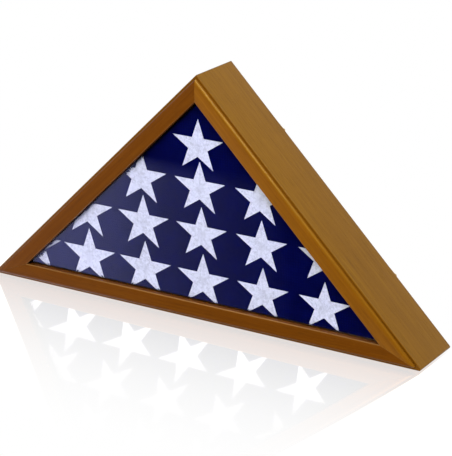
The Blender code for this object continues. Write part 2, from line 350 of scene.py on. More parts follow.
def wood_material(name, side, seed, settings, tint):
    """Stained open-grained wood under satin lacquer, its grain along one side of the case."""
    nodes = Nodes(name)
    along = nodes.place(turn=(0, SLOPE[side], 0), shift=(seed * 0.731, seed * 0.377, seed * 0.193))
    warp = nodes.fibre(along, (3, 14, 14), 2.0)
    streaks = nodes.fibre(along, (4, 130, 130), 5.0, 0.6, 0.4)
    lines = nodes.fibre(along, (12, 520, 520), 3.0, 0.55)
    pores = nodes.fibre(along, (45, 1500, 1500), 2.0, 0.5)
    fleck = nodes.fibre(along, (160, 420, 420), 1.0)
    stains = (settings.stain_dark, settings.stain_middle, settings.stain_light)
    dark, mid, light = (Vector([a * b for a, b in zip(stain, tint)]) for stain in stains)
    grain = nodes.plus(nodes.times(streaks, 0.45), nodes.times(lines, 0.55))
    figure = nodes.ramp(grain, ((0.20, dark), (0.50, mid), (0.80, light)))
    cloudy = nodes.mix(nodes.span(warp, 0.35, 0.7, 0.0, 0.18), figure, dark)
    flecked = nodes.mix(nodes.span(fleck, 0.62, 0.75, 0.0, 0.22), cloudy, light)
    pore_mask = nodes.span(pores, 0.60, 0.70)
    colour = nodes.mix(nodes.times(pore_mask, 0.45), flecked, dark * 0.5)
    # Rounded edges lighter: stain rubbed thin, and partly a painted highlight along them.
    worn_and_lit = nodes.mark("worn_lit_edge")
    patchy = nodes.times(worn_and_lit, nodes.span(streaks, 0.35, 0.6, 0.3, 1.0))
    colour = nodes.mix(patchy, colour, settings.worn_lit_edge)
    # Painted shade: the boards' faces in the frame's step darkened, where the lip shades them.
    step_shade = nodes.mark("step_shade")
    colour = nodes.mix(step_shade, colour, settings.step_shade)
    sheen = [min(1.0, a * math.sqrt(b)) for a, b in zip(settings.sheen_tint, tint)]
    polished = nodes.mark("polished")
    shine = nodes.span(polished, 0.0, 1.0, 0.22, 1.0)
    rough = nodes.span(pores, 0.4, 0.75, settings.gloss, settings.gloss + 0.18)
    nodes.set(Base_Color=colour, Roughness=rough, Coat_Weight=0.03, Coat_Roughness=0.2,
              Specular_IOR_Level=shine, Specular_Tint=(*sheen, 1.0))
    relief = nodes.math("SUBTRACT", nodes.times(lines, 0.35), pore_mask)
    nodes.set(Normal=nodes.bump(relief, 0.25, 0.12 * MM))
    return nodes.material


def add_strip(side, low, high, front, back):
    """A block along one side, from one inset and depth to another, too long at both ends."""
    centre = (corner(SIDES[side][0], (low + high) / 2) + corner(SIDES[side][1], (low + high) / 2)) / 2
    piece = add_primitive("cube", size=1, location=at_depth(centre, (front + back) / 2),
                          rotation=(0, -SLOPE[side], 0),
                          scale=(2.4 * HALF_WIDTH, back - front, high - low))
    apply_place()
    return piece


def step_back(piece, side, low, high, depth):
    """Extrudes the part of the rear face between two insets back to a depth."""
    start = corner(SIDES[side][0], 0)
    for inset in (low, high):
        bpy.ops.mesh.select_all(action="SELECT")
        bpy.ops.mesh.bisect(plane_co=start + inset * inward(side), plane_no=inward(side))
    bpy.ops.mesh.select_all(action="SELECT")

    def between(face):
        middle = face.calc_center_median()
        return face.normal.y > 0.9 and low < inset_of(middle, side) < high

    pick(piece, "FACE", between)
    bm = bmesh.from_edit_mesh(piece.data)
    face_y = max(face.calc_center_median().y for face in bm.faces if face.select)
    extrude((0, FRONT_Y + depth - face_y, 0))


def round_edge(piece, side, inset, depth, radius, steps):
    """Rounds the long edge of a strip that lies at an inset and a depth."""
    def wanted(edge):
        middle = edge_middle(edge)
        return (abs(edge_direction(edge).dot(direction(side))) > 0.99
                and near(inset_of(middle, side), inset) and near(middle.y - FRONT_Y, depth))

    pick(piece, "EDGE", wanted)
    bpy.ops.mesh.bevel(offset=radius, segments=steps, profile=0.5, affect="EDGES")


def round_corner(name, inset, radius, steps):
    """Planes a corner of the outline off, along an arc."""
    centre = corner(name, inset + radius)
    first, second = corner_angles(name)
    for step in range(steps):
        angle = first + (second - first) * (step + 0.5) / steps
        normal = Vector((math.cos(angle), 0.0, math.sin(angle)))
        cut_off(centre + radius * normal, normal)


def mitre(side, inset, joint_gap, tip_radius, apex_radius, steps=7):
    """Cuts both ends of a strip on their mitres, and rounds the outer corners off."""
    for name, sign in zip(SIDES[side], (1, -1)):
        into = (corner(name, BOARD) - corner(name, 0)).normalized()
        across = into.cross(Vector((0, 1, 0)))
        if across.dot(direction(side)) * sign > 0:
            across.negate()
        at = corner(name, 0) - across * joint_gap / 2
        cut_off(at, across)
        round_corner(name, inset, apex_radius if name == "apex" else tip_radius, steps)


def cut_off(point, normal):
    bpy.ops.mesh.select_all(action="SELECT")
    bpy.ops.mesh.bisect(plane_co=point, plane_no=normal, use_fill=True, clear_outer=True)


def soften(piece, width, segments=2):
    apply_modifier(piece, "BEVEL", width=width, segments=segments, limit_method="ANGLE",
                   angle_limit=math.radians(35), use_clamp_overlap=True)


def rub_and_light_edges(piece, width, share):
    """Marks the narrow faces of rounded edges, where a share of the stain is rubbed off and a painted
    highlight lightens them.
    """
    def worn_lit_edge(face):
        points = [piece.data.vertices[index].co for index in face.vertices]
        longest = max((a - b).length for a, b in zip(points, points[1:] + points[:1]))
        return share if face.area / longest < width else 0.0

    mark_faces(piece, "worn_lit_edge", worn_lit_edge)


def paint_step_shade(piece, share):
    """Marks the faces towards the front in the step of the frame, for a painted shade that darkens them
    as if the lip shaded them.
    """
    mark_faces(piece, "step_shade", lambda face: share * max(0.0, -face.normal.y) ** 2)


def polish_round(piece, reach):
    """Marks the round outer edge near the apex, which handling has polished."""
    apex = at_depth(corner("apex", RAIL_SET), 0)

    def polished(face):
        turned = -face.normal.y * math.hypot(face.normal.x, face.normal.z) * 2
        fade = max(0.0, 1 - (face.center - apex).length / reach)
        return max(0.0, turned) ** 2 * fade if face.normal.z > 0 else 0.0

    mark_faces(piece, "polished", polished)


def make_board(side, node, settings, material):
    piece = add_strip(side, 0, BOARD, BOARD_FRONT, settings.shoulder_depth)
    with editing(piece):
        step_back(piece, side, -BOARD, settings.rebate_inset, BOARD_BACK)
        round_edge(piece, side, 0, BOARD_FRONT, settings.board_ease, 4)
        round_edge(piece, side, 0, BOARD_BACK, settings.board_ease, 3)
        mitre(side, 0, settings.joint_gap, settings.tip_round, settings.apex_round)
    soften(piece, 0.25 * MM)
    rub_and_light_edges(piece, settings.worn_lit_width, settings.worn_lit_share)
    paint_step_shade(piece, settings.step_shade_share)
    finish_piece(piece, f"{side}_board", CASE, material, (node,))


def make_rail(side, settings, material):
    piece = add_strip(side, RAIL_SET, RAIL_EDGE, 0, settings.front_lip)
    with editing(piece):
        step_back(piece, side, BOARD + GAP, 2 * RAIL_EDGE, settings.lip_thickness)
        step_back(piece, side, BOARD + GAP, GLASS_INSET - GAP, RAIL_THICKNESS)
        round_edge(piece, side, RAIL_SET, 0, settings.rail_round, 9)
        round_edge(piece, side, RAIL_EDGE, 0, settings.opening_round, 4)
        mitre(side, RAIL_SET, settings.joint_gap, settings.tip_round, settings.apex_round)
    soften(piece, 0.15 * MM)
    # The bottom rail's edges, which face up towards the light, take three times the painted highlight.
    rub_and_light_edges(piece, settings.worn_lit_width, settings.worn_lit_share * (3 if side == "bottom" else 1))
    if side == "right":
        polish_round(piece, settings.polished_reach)
    finish_piece(piece, f"{side}_rail", CASE, material, (f"{side}_face_rail",))


# Glass, lining and back board

def dress(node, material):
    """Gives a CAD piece that is kept a new material."""
    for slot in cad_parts[node].material_slots:
        slot.material = material


def glass_material(settings):
    """Clear glass that lets lamp light straight through to what is behind it."""
    nodes = Nodes("clear_glass")
    nodes.set(Base_Color=(0.97, 0.985, 0.98, 1), Transmission_Weight=1.0, IOR=settings.glass_ior,
              Roughness=0.0)
    clear = nodes.add("ShaderNodeBsdfTransparent")
    path = nodes.add("ShaderNodeLightPath")
    both = nodes.mix_shaders(path.outputs["Is Shadow Ray"], nodes.shader, clear)
    nodes.put(nodes.output.inputs["Surface"], both.outputs["Shader"])
    return nodes.material


def plywood_material():
    """Birch ply: thin plies across the tongue's thickness."""
    nodes = Nodes("birch_ply")
    here = nodes.place()
    plies = nodes.wave(here, 1 / (0.6 * MM) / 20, 0.4, "Y")
    fibres = nodes.fibre(here, (900, 60, 900), 3.0)
    tint = nodes.ramp(plies, ((0.2, (0.42, 0.29, 0.16)), (0.8, (0.62, 0.47, 0.30))))
    nodes.set(Base_Color=nodes.mix(nodes.span(fibres, 0.4, 0.7, 0.0, 0.3), tint, (0.33, 0.22, 0.12)),
              Roughness=0.75, Normal=nodes.bump(fibres, 0.3, 0.1 * MM))
    return nodes.material


def hardboard_material(settings):
    """Pressed fibreboard: smooth, brown, with fibres lying every way."""
    nodes = Nodes("hardboard")
    here = nodes.place()
    cloud = nodes.noise(here, 14.0, 3.0, 0.6)
    fibres = nodes.fibre(here, (900, 900, 260), 3.0, 0.6, 1.2)
    crossing = nodes.fibre(here, (240, 900, 900), 3.0, 0.6, 1.2)
    weave = nodes.math("MAXIMUM", fibres, crossing)
    base = Vector(settings.panel_colour)
    tint = nodes.ramp(weave, ((0.40, base * 0.70), (0.56, base), (0.72, base * 1.5)))
    nodes.set(Base_Color=nodes.mix(nodes.span(cloud, 0.4, 0.7, 0.0, 0.4), tint, base * 0.8),
              Roughness=nodes.span(weave, 0.4, 0.7, 0.62, 0.78),
              Normal=nodes.bump(weave, 0.35, 0.15 * MM), Specular_IOR_Level=0.35)
    return nodes.material


def felt_material(settings):
    """Short matted fibres with a soft bloom at the edges."""
    nodes = Nodes("lining_felt")
    here = nodes.place()
    tufts = nodes.noise(here, 420.0, 4.0, 0.7, 1.5)
    hairs = nodes.fibre(here, (2600, 900, 700), 2.0, 0.6, 2.5)
    base = Vector(settings.lining_colour)
    tint = nodes.ramp(nodes.times(tufts, hairs),
                      ((0.15, base * 0.5), (0.27, base), (0.42, base * 2.6)))
    nodes.set(Base_Color=tint, Roughness=0.96, Sheen_Weight=0.3, Sheen_Roughness=0.5,
              Specular_IOR_Level=0.15, Normal=nodes.bump(nodes.plus(tufts, hairs), 0.6, 0.4 * MM))
    return nodes.material


def add_triangle(inset, front, back, radius, steps=4):
    """A flat plate whose outline is the case's triangle at an inset, with rounded corners."""
    middle = at_depth(Vector((0, 0, HEIGHT / 2)), (front + back) / 2)
    piece = add_primitive("cube", size=1, location=middle, scale=(2 * HALF_WIDTH, back - front, HEIGHT))
    apply_place()
    with editing(piece):
        for side in SIDES:
            cut_off(corner(SIDES[side][0], inset), -inward(side))
        for name in CORNER_SIDES:
            round_corner(name, inset, radius, steps)
    return piece


def make_back_board(settings):
    piece = add_triangle(PANEL_INSET, PANEL_FRONT, BOARD_BACK, settings.panel_corner)
    soften(piece, settings.panel_ease, 3)
    return finish_piece(piece, "back_panel", BACK, hardboard_material(settings),
                        ("back_board",))


def make_lining(settings, panel):
    """The felt on the back board's inner face, a sheet cut to the triangle."""
    piece = add_triangle(LINING_INSET, LINING_FRONT, LINING_BACK, settings.panel_corner)
    soften(piece, 0.3 * MM)
    finish_piece(piece, "felt_lining", BACK, felt_material(settings), ("back_lining",))


# Flag

def cotton_material(settings):
    """Dyed cotton bunting in a fine plain weave, a little uneven in its colour."""
    nodes = Nodes("flag_cotton")
    here = nodes.place()
    twist = nodes.place(turn=(0, math.radians(settings.weave_slant), 0))
    pitch = 1 / (settings.thread_pitch * 20)
    warp = nodes.wave(twist, pitch, 1.2, "X")
    weft = nodes.wave(twist, pitch, 1.2, "Z")
    weave = nodes.times(warp, weft)
    slubs = nodes.fibre(here, (60, 200, 700), 2.0, 0.5)
    cloud = nodes.noise(here, 38.0, 4.0, 0.62)
    base = Vector(settings.navy)
    mixed = nodes.plus(nodes.times(weave, 0.25), nodes.times(cloud, 0.75))
    tint = nodes.ramp(mixed, ((0.25, base * 0.7), (0.45, base), (0.65, base * 1.35)))
    nodes.set(Base_Color=nodes.mix(nodes.span(slubs, 0.62, 0.75, 0.0, 0.25), tint, base * 1.7),
              Roughness=0.9, Specular_IOR_Level=0.0)
    relief = nodes.plus(weave, nodes.times(cloud, 0.5))
    nodes.set(Normal=nodes.bump(relief, 0.35, 0.25 * MM))
    return nodes.material


def star_material(settings):
    """White rayon satin stitch: close threads laid square to each point's edge."""
    nodes = Nodes("star_thread")
    across = nodes.add("ShaderNodeUVMap", uv_map="stitch").outputs["UV"]
    threads = nodes.wave(across, 1 / (settings.stitch_pitch * 20), 0.6, "X")
    here = nodes.place()
    mottle = nodes.noise(here, 260.0, 4.0, 0.65, 0.8)
    soft = nodes.noise(here, 45.0, 2.0, 0.5)
    white = Vector(settings.star_white)
    tint = nodes.ramp(mottle, ((0.38, white * 0.72), (0.50, white * 0.95), (0.60, white)))
    shaded = nodes.mix(nodes.span(threads, 0.0, 0.5, 0.20, 0.0), tint, white * 0.72)
    seams = nodes.mark("seam")
    shaded = nodes.mix(nodes.times(seams, 0.45), shaded, white * 0.62)
    nodes.set(Base_Color=nodes.mix(nodes.span(soft, 0.4, 0.7, 0.0, 0.18), shaded, white * 0.9),
              Roughness=0.7, Specular_IOR_Level=0.06)
    relief = nodes.plus(nodes.times(threads, 0.5), mottle)
    nodes.set(Normal=nodes.bump(relief, 0.4, 0.25 * MM))
    return nodes.material


def flag_blank(settings):
    """A merged copy of the flag's plain solid, a little smaller all round."""
    piece = bpy.data.objects.new("flag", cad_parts["folded_flag"].data.copy())
    bpy.context.scene.collection.objects.link(piece)
    with editing(piece):
        bpy.ops.mesh.remove_doubles(threshold=0.01 * MM)
        bpy.ops.transform.shrink_fatten(value=-settings.flag_slack)
    apply_modifier(piece, "REMESH", mode="VOXEL", voxel_size=settings.flag_grain)
    return piece


def puff(piece, settings):
    """Swells the flag by its own spring, as far as the cap lets any point move."""
    start = [vertex.co.copy() for vertex in piece.data.vertices]
    select_only(piece)
    cloth = piece.modifiers.new("Cloth", "CLOTH")
    cloth.settings.use_pressure = True
    cloth.settings.uniform_pressure_force = settings.flag_pressure
    cloth.settings.effector_weights.gravity = 0
    scene = bpy.context.scene
    for step in range(1, settings.flag_steps + 1):
        scene.frame_set(step)
    bpy.ops.object.modifier_apply(modifier=cloth.name)
    scene.frame_set(1)
    for vertex, before in zip(piece.data.vertices, start):
        move = vertex.co - before
        if move.length > settings.flag_cap:
            vertex.co = before + move * (settings.flag_cap / move.length)


def fold_shape(point, settings):
    """Where a point of the swollen flag ends, with its layers, its tuck and what it rests on."""
    depth = point.y - FRONT_Y
    side = min(SIDES, key=lambda name: inset_of(point, name))
    inset = inset_of(point, side)
    middle = (FLAG_FRONT + FLAG_BACK) / 2
    edge_share = max(0.0, 1.0 - max(0.0, inset - settings.flag_edge) / FOLD_FADE)
    layer = abs(math.sin(math.pi * (depth - FLAG_FRONT) / settings.layer_pitch))
    wander = noise.noise(Vector((point.x * 9, depth * 20, point.z * 9)))
    groove = settings.layer_groove * edge_share * (1 - layer ** 0.5) * (1 + 0.5 * wander)
    result = point + groove * inward(side)
    if depth > middle:
        result.y -= tuck_drop(point, settings)
    elif inset > settings.press_edge and depth < settings.press_depth + FLAG_FRONT:
        lift = max(0.0, settings.press_round - (inset - settings.press_edge))
        roll = settings.press_round - math.sqrt(settings.press_round ** 2 - lift ** 2)
        dent = settings.face_ripple * (0.5 + 0.5 * noise.noise(point * 16))
        result.y = FRONT_Y + FLAG_FRONT + roll + dent
    result.y = min(max(result.y, FRONT_Y + FLAG_FRONT), FRONT_Y + FLAG_BACK)
    short = BOARD + BOARD_PLAY - nearest_inset(result)
    if short > 0:
        result += short * inward(side)
    return result


def tuck_drop(point, settings):
    """How far the rear face lies below the top fold: the pocket's edge runs up to the left side."""
    edge = corner("right", 0).lerp(corner("left", 0), settings.tuck_place)
    square = Vector((math.cos(settings.tuck_angle), 0, -math.sin(settings.tuck_angle)))
    across = (point - edge).dot(square)
    share = min(1.0, max(0.0, across / TUCK_WIDTH))
    return settings.tuck_step * share * share * (3 - 2 * share)


def make_flag(settings):
    piece = flag_blank(settings)
    puff(piece, settings)
    apply_modifier(piece, "SUBSURF", levels=1, render_levels=1)
    for vertex in piece.data.vertices:
        vertex.co = fold_shape(vertex.co, settings)
    finish_piece(piece, "flag", CASE, cotton_material(settings), ("folded_flag",), 60)
    return piece


def star_lines(spot):
    """How near a spot in a star, measured from its middle, lies to a valley and to a ridge."""
    turn = math.atan2(spot.x, spot.z) % (2 * math.pi / 5)
    off_ridge = min(turn, 2 * math.pi / 5 - turn) / (math.pi / 5)
    valley = 1 - min(1.0, (1 - off_ridge) * spot.length / SEAM_WIDTH)
    ridge = 1 - min(1.0, off_ridge * spot.length / SEAM_WIDTH)
    return valley, ridge


def star_blank(settings):
    """One flat star at the origin, facing -Y: a satin border round ten stitched facets."""
    star = add_primitive("circle", vertices=10, radius=settings.star_radius, fill_type="TRIFAN",
                         rotation=(math.pi / 2, 0, 0))
    apply_place()
    waist = settings.star_radius * math.sin(math.radians(18)) / math.sin(math.radians(54))

    def between_tips(vertex):
        turn = math.atan2(vertex.co.x, vertex.co.z) % (2 * math.pi / 5)
        return vertex.co.length > waist and abs(turn - math.pi / 5) < 0.1

    with editing(star):
        pick(star, "VERT", between_tips)
        bpy.ops.transform.resize(value=(waist / settings.star_radius,) * 3, center_override=(0, 0, 0))
        bpy.ops.mesh.select_all(action="SELECT")
        bpy.ops.mesh.inset(thickness=settings.star_border, use_boundary=True)
        bpy.ops.mesh.select_all(action="SELECT")
        bpy.ops.mesh.subdivide(number_cuts=settings.star_cuts)
        bpy.ops.transform.resize(value=(settings.star_spread, 1, settings.star_squat))
    lay_stitches(star)
    return star


def lay_stitches(star):
    """Maps each half point so that threads run square to its outer edge; U counts them."""
    layer = star.data.uv_layers.new(name="stitch")
    for face in star.data.polygons:
        middle = face.center
        turn = math.atan2(middle.x, middle.z)
        tip = round(turn / (2 * math.pi / 5)) * 2 * math.pi / 5
        hand = 1 if turn > tip else -1
        angle = tip - hand * math.radians(18)
        along = Vector((math.sin(angle), 0, math.cos(angle)))
        square = Vector((along.z, 0, -along.x))
        for index in face.loop_indices:
            spot = star.data.vertices[star.data.loops[index].vertex_index].co
            layer.data[index].uv = (spot.dot(along), spot.dot(square))


def star_places(settings):
    """Middles of the stars that show on the front of the flag, row by row."""
    places = []
    for row, height in enumerate(settings.star_rows):
        for column in range(-3, 4):
            x = settings.star_middle + column * settings.star_step - settings.star_lean * row
            place = Vector((x, 0, height))
            if nearest_inset(place) > settings.star_reach:
                places.append(place)
    return places


def make_stars(settings, flag):
    """Lays a star at each place on both faces of the flag, cut off where the cloth folds away."""
    blank = star_blank(settings)
    material = star_material(settings)
    for face, back in (("front", False), ("rear", True)):
        stars = []
        for place in star_places(settings):
            star = lay_star(blank, place, back, flag, settings)
            if star:
                stars.append(star)
        select_only(*stars)
        bpy.ops.object.join()
        finish_piece(bpy.context.active_object, f"{face}_stars", CASE, material, (), 50)
    bpy.data.objects.remove(blank, do_unlink=True)


def lay_star(blank, place, back, flag, settings):
    """A copy of the star, trimmed to the flag's face, laid on the cloth and given its thickness."""
    star = copy_of(blank)
    hand = -1 if back else 1
    y = FRONT_Y + (BOARD_BACK if back else 0)
    turn = Matrix.Rotation(math.pi if back else 0, 4, "Z")
    across, upwards = settings.star_taper
    size = 1 - across * place.x - upwards * (place.z - settings.star_rows[0])
    star.data.transform(Matrix.Translation((hand * place.x, y, place.z)) @ turn @ Matrix.Scale(size, 4))
    if nearest_inset(place) < settings.star_radius + settings.flag_trim:
        with editing(star):
            for side in SIDES:
                bpy.ops.mesh.select_all(action="SELECT")
                bpy.ops.mesh.bisect(plane_co=corner(SIDES[side][0], settings.flag_trim),
                                    plane_no=-inward(side), clear_outer=True)
    if len(star.data.polygons) < LEAST_STAR:
        bpy.data.objects.remove(star, do_unlink=True)
        return None
    apply_modifier(star, "SHRINKWRAP", target=flag, wrap_method="PROJECT", use_project_y=True,
                   use_negative_direction=back, use_positive_direction=not back)
    middle = Vector((hand * place.x, 0, place.z))
    seam = star.data.attributes.new("seam", "FLOAT", "POINT")
    for vertex in star.data.vertices:
        spot = Vector((vertex.co.x - middle.x, 0, vertex.co.z - middle.z))
        valley, ridge = star_lines(spot)
        inner = 1 - min(1.0, spot.length / settings.star_radius)
        seam.data[vertex.index].value = max(valley, ridge) * (0.25 + 0.75 * inner)
        vertex.co.y -= hand * settings.star_height * (0.62 + 0.38 * ridge - 0.42 * valley)
    apply_modifier(star, "SOLIDIFY", thickness=settings.star_height * 1.2, offset=-1)
    return star


# Fittings of the back

def brass_material():
    """Pressed brass plate: fine drawn lines, a little tarnish in patches."""
    nodes = Nodes("brass_plate")
    here = nodes.place()
    drawn = nodes.fibre(here, (220, 2600, 2600), 3.0, 0.6)
    tarnish = nodes.noise(here, 130.0, 4.0, 0.6)
    clean, dull = (0.62, 0.42, 0.17), (0.36, 0.22, 0.09)
    colour = nodes.mix(nodes.span(tarnish, 0.45, 0.75, 0.0, 0.6), clean, dull)
    nodes.set(Base_Color=colour, Metallic=1.0, Roughness=nodes.span(tarnish, 0.3, 0.8, 0.22, 0.42),
              Normal=nodes.bump(drawn, 0.15, 0.05 * MM))
    return nodes.material


def bore_out(piece, radius):
    """Drills a round hole along Y through the middle of a piece."""
    cut_with(piece, add_primitive("cylinder", vertices=32, radius=radius, depth=40 * MM,
                                  rotation=(math.pi / 2, 0, 0)))


def cut_with(piece, tool):
    apply_modifier(piece, "BOOLEAN", operation="DIFFERENCE", solver="EXACT", object=tool)
    bpy.data.objects.remove(tool, do_unlink=True)


def add_disc(radius, thickness):
    """A round plate on the XZ plane, its front face at y = 0."""
    disc = add_primitive("cylinder", vertices=32, radius=radius, depth=thickness,
                         location=(0, thickness / 2, 0), rotation=(math.pi / 2, 0, 0))
    apply_place()
    return disc


def raise_face(piece, end, rim, height):
    """Insets the face at one end of a piece, and draws it out."""
    sign = 1 if end == "rear" else -1
    pick(piece, "FACE", lambda face: face.normal.y * sign > 0.99)
    bpy.ops.mesh.inset(thickness=rim)
    bpy.ops.transform.translate(value=(0, sign * height, 0))


def tongue_blank(settings):
    """A turn button lying along +X from its eye, with a raised middle."""
    thickness = box_span("turn_button_bottom_left", 1)
    tongue = add_disc(settings.tongue_width / 2, thickness - settings.tongue_rib)
    with editing(tongue):
        pick(tongue, "VERT", lambda vertex: vertex.co.x > 0.01 * MM)
        bpy.ops.transform.translate(value=(settings.tongue_reach, 0, 0))
        share = settings.tongue_tip / settings.tongue_width
        bpy.ops.transform.resize(value=(share, 1, share), center_override=(settings.tongue_reach, 0, 0))
        raise_face(tongue, "rear", settings.tongue_rim, 0)
        bpy.ops.mesh.inset(thickness=settings.tongue_rib * 0.8)
        bpy.ops.transform.translate(value=(0, settings.tongue_rib, 0))
    bore_out(tongue, settings.bore)
    soften(tongue, 0.18 * MM)
    return tongue


def washer_blank(settings):
    washer = add_disc(settings.washer_radius, box_span("button_washer_bottom_left", 1))
    bore_out(washer, settings.bore)
    soften(washer, 0.12 * MM)
    return washer


def screw_blank(settings):
    """A round-headed slotted screw, the underside of its head at the origin."""
    low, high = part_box("button_screw_bottom_left")
    head = high[1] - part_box("button_washer_bottom_left")[1][1] - GAP
    shank = high[1] - low[1] - head
    screw = add_disc(settings.head_radius, head * (1 - DOME_SHARE))
    turns = [DOME_TURN * step for step in range(DOME_STEPS + 1)]
    with editing(screw):
        for before, turn in zip(turns, turns[1:]):
            rim = settings.head_radius * (math.cos(before) - math.cos(turn))
            rise = head * DOME_SHARE * (math.sin(turn) - math.sin(before)) / math.sin(turns[-1])
            raise_face(screw, "rear", rim, rise)
        raise_face(screw, "front", settings.head_radius - settings.shank_radius, 0)
        extrude((0, -(shank - 2 * settings.shank_radius), 0))
        extrude((0, -2 * settings.shank_radius, 0))
        bpy.ops.transform.resize(value=(0.2, 1, 0.2), center_override=(0, 0, 0))
    slot = (3 * settings.head_radius, 2 * settings.slot_depth, settings.slot_width)
    cut_with(screw, add_primitive("cube", size=1, location=(0, head, 0),
                                  rotation=(0, settings.slot_turn, 0), scale=slot))
    soften(screw, 0.08 * MM)
    return screw


def box_span(node, axis):
    low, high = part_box(node)
    return high[axis] - low[axis]


def place_copies(blank, title, node, material, on_button):
    """Puts a copy of a fitting where each of its six CAD nodes is."""
    for side, places in BUTTON_PLACES.items():
        for place in places:
            key = f"{side}_{place}"
            washer_low, washer_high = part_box(f"button_washer_{key}")
            pivot = (Vector(washer_low) + Vector(washer_high)) / 2
            pivot.y = washer_high[1] + GAP if title == "plate_screw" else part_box(f"{node}_{key}")[0][1]
            piece = copy_of(blank)
            piece.matrix_world = Matrix.Translation(pivot) @ Matrix.Rotation(-SLOPE[side], 4, "Y")
            body = f"button_{key}" if on_button else CASE
            finish_piece(piece, f"{title}_{key}", body, material, (f"{node}_{key}",))
    bpy.data.objects.remove(blank, do_unlink=True)


# Settings

def number(title, words, default):
    return bpy.props.FloatProperty(name=title, description=words, default=default)


def length(title, words, default):
    return bpy.props.FloatProperty(name=title, description=words, unit="LENGTH", default=default)


def degrees(title, words, default):
    return bpy.props.FloatProperty(name=title, description=words, unit="ROTATION",
                                   default=math.radians(default))


def triple(title, words, default, subtype="XYZ"):
    return bpy.props.FloatVectorProperty(name=title, description=words, size=3, subtype=subtype,
                                         default=default)


def shade(title, words, default):
    return triple(title, words, default, "COLOR")


class FlagCaseWood(bpy.types.PropertyGroup):
    stain_dark: shade("Dark grain", "Colour of the darkest grain", (0.120, 0.042, 0.0006))
    stain_middle: shade("Middle grain", "Colour between the grain", (0.180, 0.069, 0.0012))
    stain_light: shade("Light grain", "Colour of the palest wood", (0.235, 0.102, 0.004))
    # Lighter colour of rounded edges: stain rubbed thin, and partly a painted highlight.
    worn_lit_edge: shade("Rubbed edge", "Colour of the edges where the stain has rubbed thin",
                  (0.33, 0.19, 0.07))
    sheen_tint: shade("Lacquer tint", "Colour of the lacquer's shine", (1.0, 0.77, 0.20))
    # The bottom and left rails are darker than the right rail.
    deep_tint: triple("Deep tint", "Tint of the bottom and left rails' stain", (0.61, 0.42, 0.20))
    clear_tint: triple("Clear tint", "Tint of the right rail's stain", (1.0, 0.86, 0.30))
    board_tint: triple("Board tint", "Tint of the boards' stain", (1.06, 1.12, 0.6))
    gloss: number("Roughness", "Roughness of the lacquer between pores", 0.36)
    # Rounded faces narrower than this take the rubbed colour and its painted highlight.
    worn_lit_width: length("Rubbed width", "Faces of rounded edges narrower than this are rubbed",
                         0.5 * MM)
    polished_reach: length("Polished reach", "How far from the apex the frame's edge is polished", 0.4)
    # Share of the rubbed colour and painted highlight on the edges.
    worn_lit_share: number("Rubbed share", "How much of the stain is rubbed off edges", 0.14)
    # Painted shade: colour and share of the darkening on the boards' faces in the frame's step, where
    # the lip shades them.
    step_shade: shade("Pooled", "Colour where stain has gathered", (0.11, 0.032, 0.001))
    step_shade_share: number("Pooled share", "How much stain has gathered in the frame's step", 0.8)
    tip_round: length("Tip round", "Radius of the two sharp corners", 2.5 * MM)
    apex_round: length("Apex round", "Radius of the top corner", 1.2 * MM)
    joint_gap: length("Joint line", "Width of the line at a mitre", 0.16 * MM)
    board_ease: length("Board edge", "Radius on the boards' outer edges", 0.8 * MM)
    rebate_inset: length("Rebate", "Inset of the rebate's wall", 8 * MM)
    shoulder_depth: length("Shoulder", "Depth of the shoulder the back board meets", 82.6 * MM)
    front_lip: length("Front lip", "How far the face frame stands in front of the box", 4.2 * MM)
    lip_thickness: length("Glass lip", "Wood in front of the glass", 6.5 * MM)
    rail_round: length("Rail round", "Radius on the face frame's outer edge", 5.0 * MM)
    opening_round: length("Opening round", "Radius on the edge of the glass opening", 1.0 * MM)


